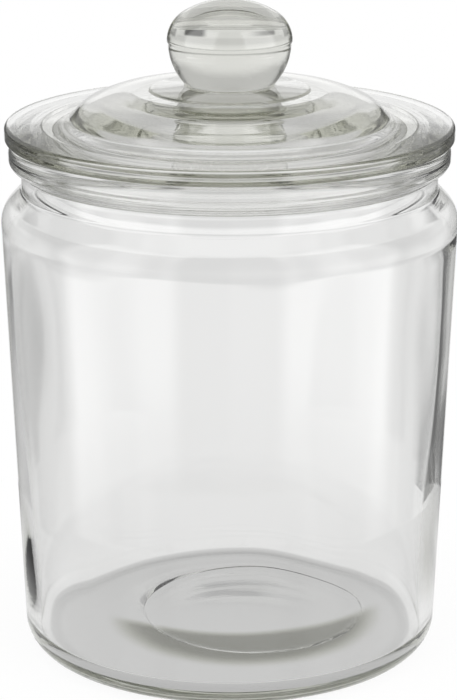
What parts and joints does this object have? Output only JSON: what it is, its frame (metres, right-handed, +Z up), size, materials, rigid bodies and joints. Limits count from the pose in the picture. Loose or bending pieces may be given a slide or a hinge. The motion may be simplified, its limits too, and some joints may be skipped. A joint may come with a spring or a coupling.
{
  "type": "lidded glass canister",
  "caption": "Clear glass storage canister with a tapered round body, beaded rim and a lift-off domed glass lid with a ball knob and a finned seal ring.",
  "frame": {"origin": "centre of the ring that the jar stands on, at table height", "axes": "+Z up along the axis of the jar, lid and seal; +X and +Y are across the jar, with -Y towards the viewer of the picture"},
  "size_m": [0.189, 0.189, 0.2744],
  "materials": {
    "jar_glass": "clear moulded soda-lime glass, smooth, faint olive tint where it is thick",
    "lid_glass": "clear pressed soda-lime glass, smooth, olive tint at the edge",
    "seal": "clear soft plastic, slightly milky"
  },
  "bodies": {
    "jar": {"jar": "jar_glass"},
    "seal": {"lid_seal": "seal"},
    "lid": {"lid": "lid_glass"}
  },
  "joints": [
    {"name": "lid_lift", "type": "slide", "parent": "jar", "child": "seal", "axis": [0, 0, 1], "range_m": [0, 0.16]},
    {"name": "lid_turn", "type": "hinge", "parent": "seal", "child": "lid", "pos_m": [0, 0, 0.21], "axis": [0, 0, 1], "continuous": true}
  ]
}
